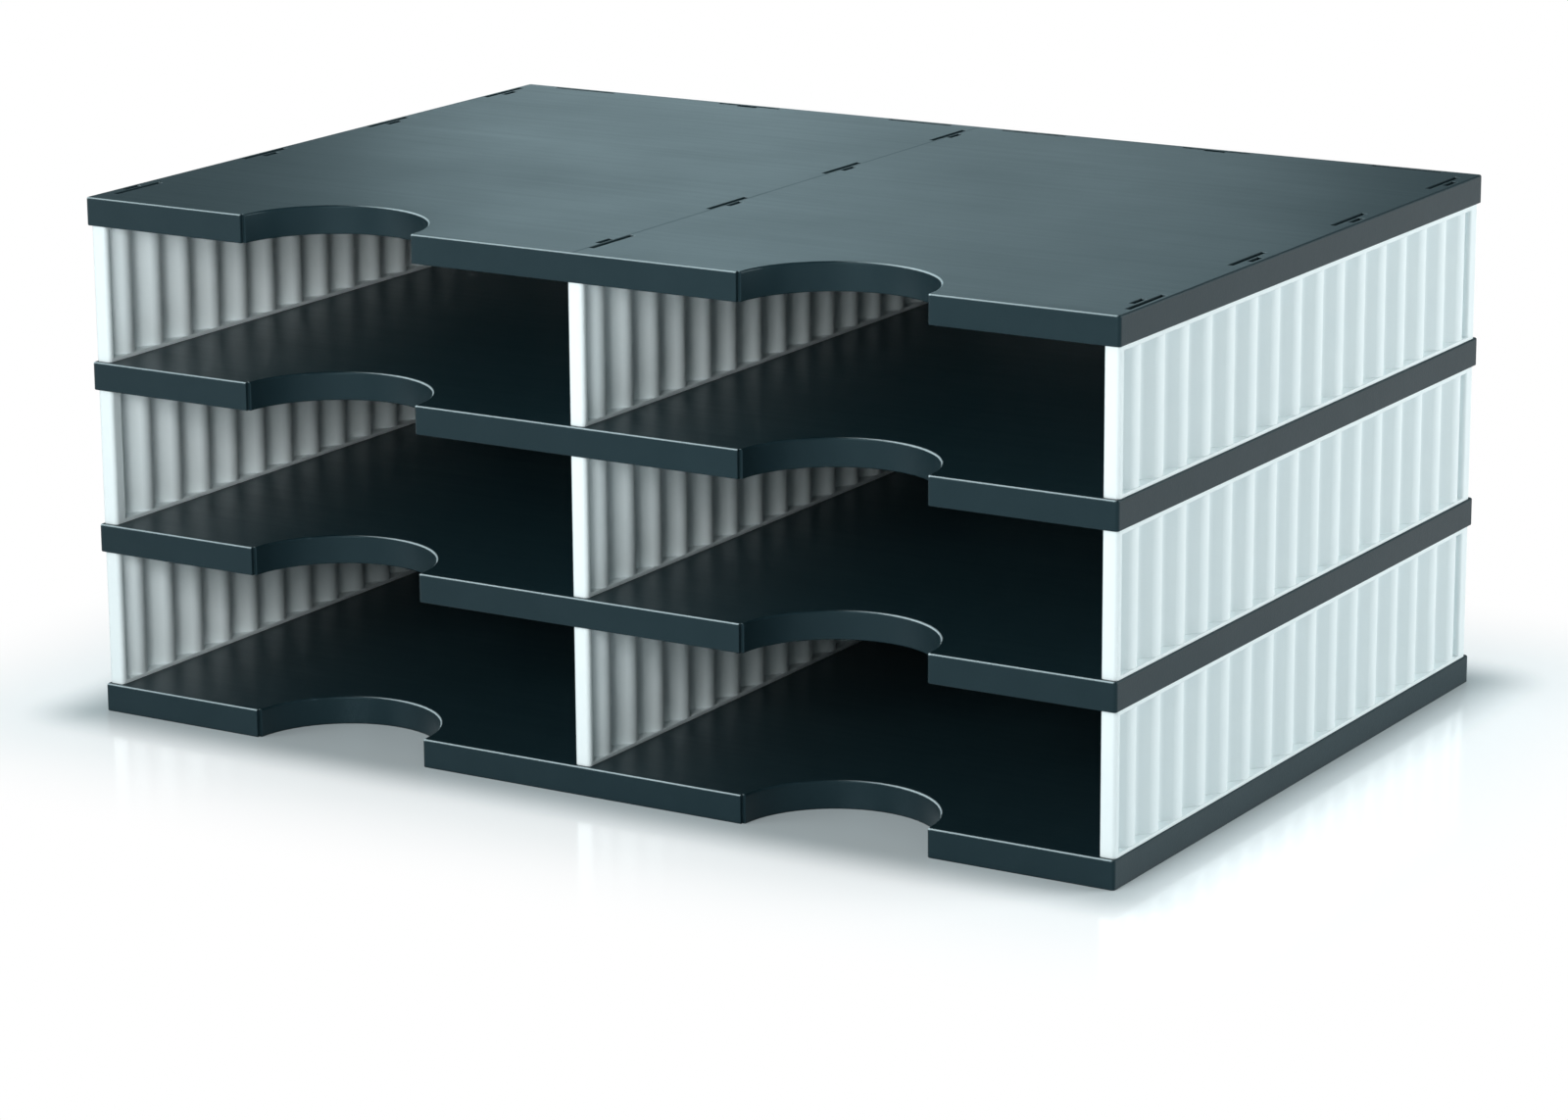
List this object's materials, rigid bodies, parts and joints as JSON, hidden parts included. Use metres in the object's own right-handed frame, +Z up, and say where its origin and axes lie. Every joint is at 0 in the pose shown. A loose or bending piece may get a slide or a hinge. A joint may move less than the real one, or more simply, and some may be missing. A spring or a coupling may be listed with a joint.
{
  "type": "letter tray stack",
  "caption": "Plug-together letter tray stack: black shelves with thumb cut-outs on corrugated white walls form open compartments for A4 papers.",
  "frame": {"origin": "middle of the footprint, on the surface the stack stands on", "axes": "+Z up, +X to the object's right as seen from the front, front faces -Y"},
  "size_m": [0.485, 0.331, 0.2229],
  "materials": {
    "black_shelf": "satin, fine grain",
    "white_wall": "satin",
    "white_back": "satin"
  },
  "bodies": {
    "root": {"bottom_shelf": "black_shelf", "lower_shelf": "black_shelf", "upper_shelf": "black_shelf", "top_shelf": "black_shelf", "bottom_left_wall": "white_wall", "bottom_centre_wall": "white_wall", "bottom_right_wall": "white_wall", "middle_left_wall": "white_wall", "middle_centre_wall": "white_wall", "middle_right_wall": "white_wall", "top_left_wall": "white_wall", "top_centre_wall": "white_wall", "top_right_wall": "white_wall", "bottom_left_back_wall": "white_back", "bottom_right_back_wall": "white_back", "middle_left_back_wall": "white_back", "middle_right_back_wall": "white_back", "top_left_back_wall": "white_back", "top_right_back_wall": "white_back"}
  },
  "joints": []
}
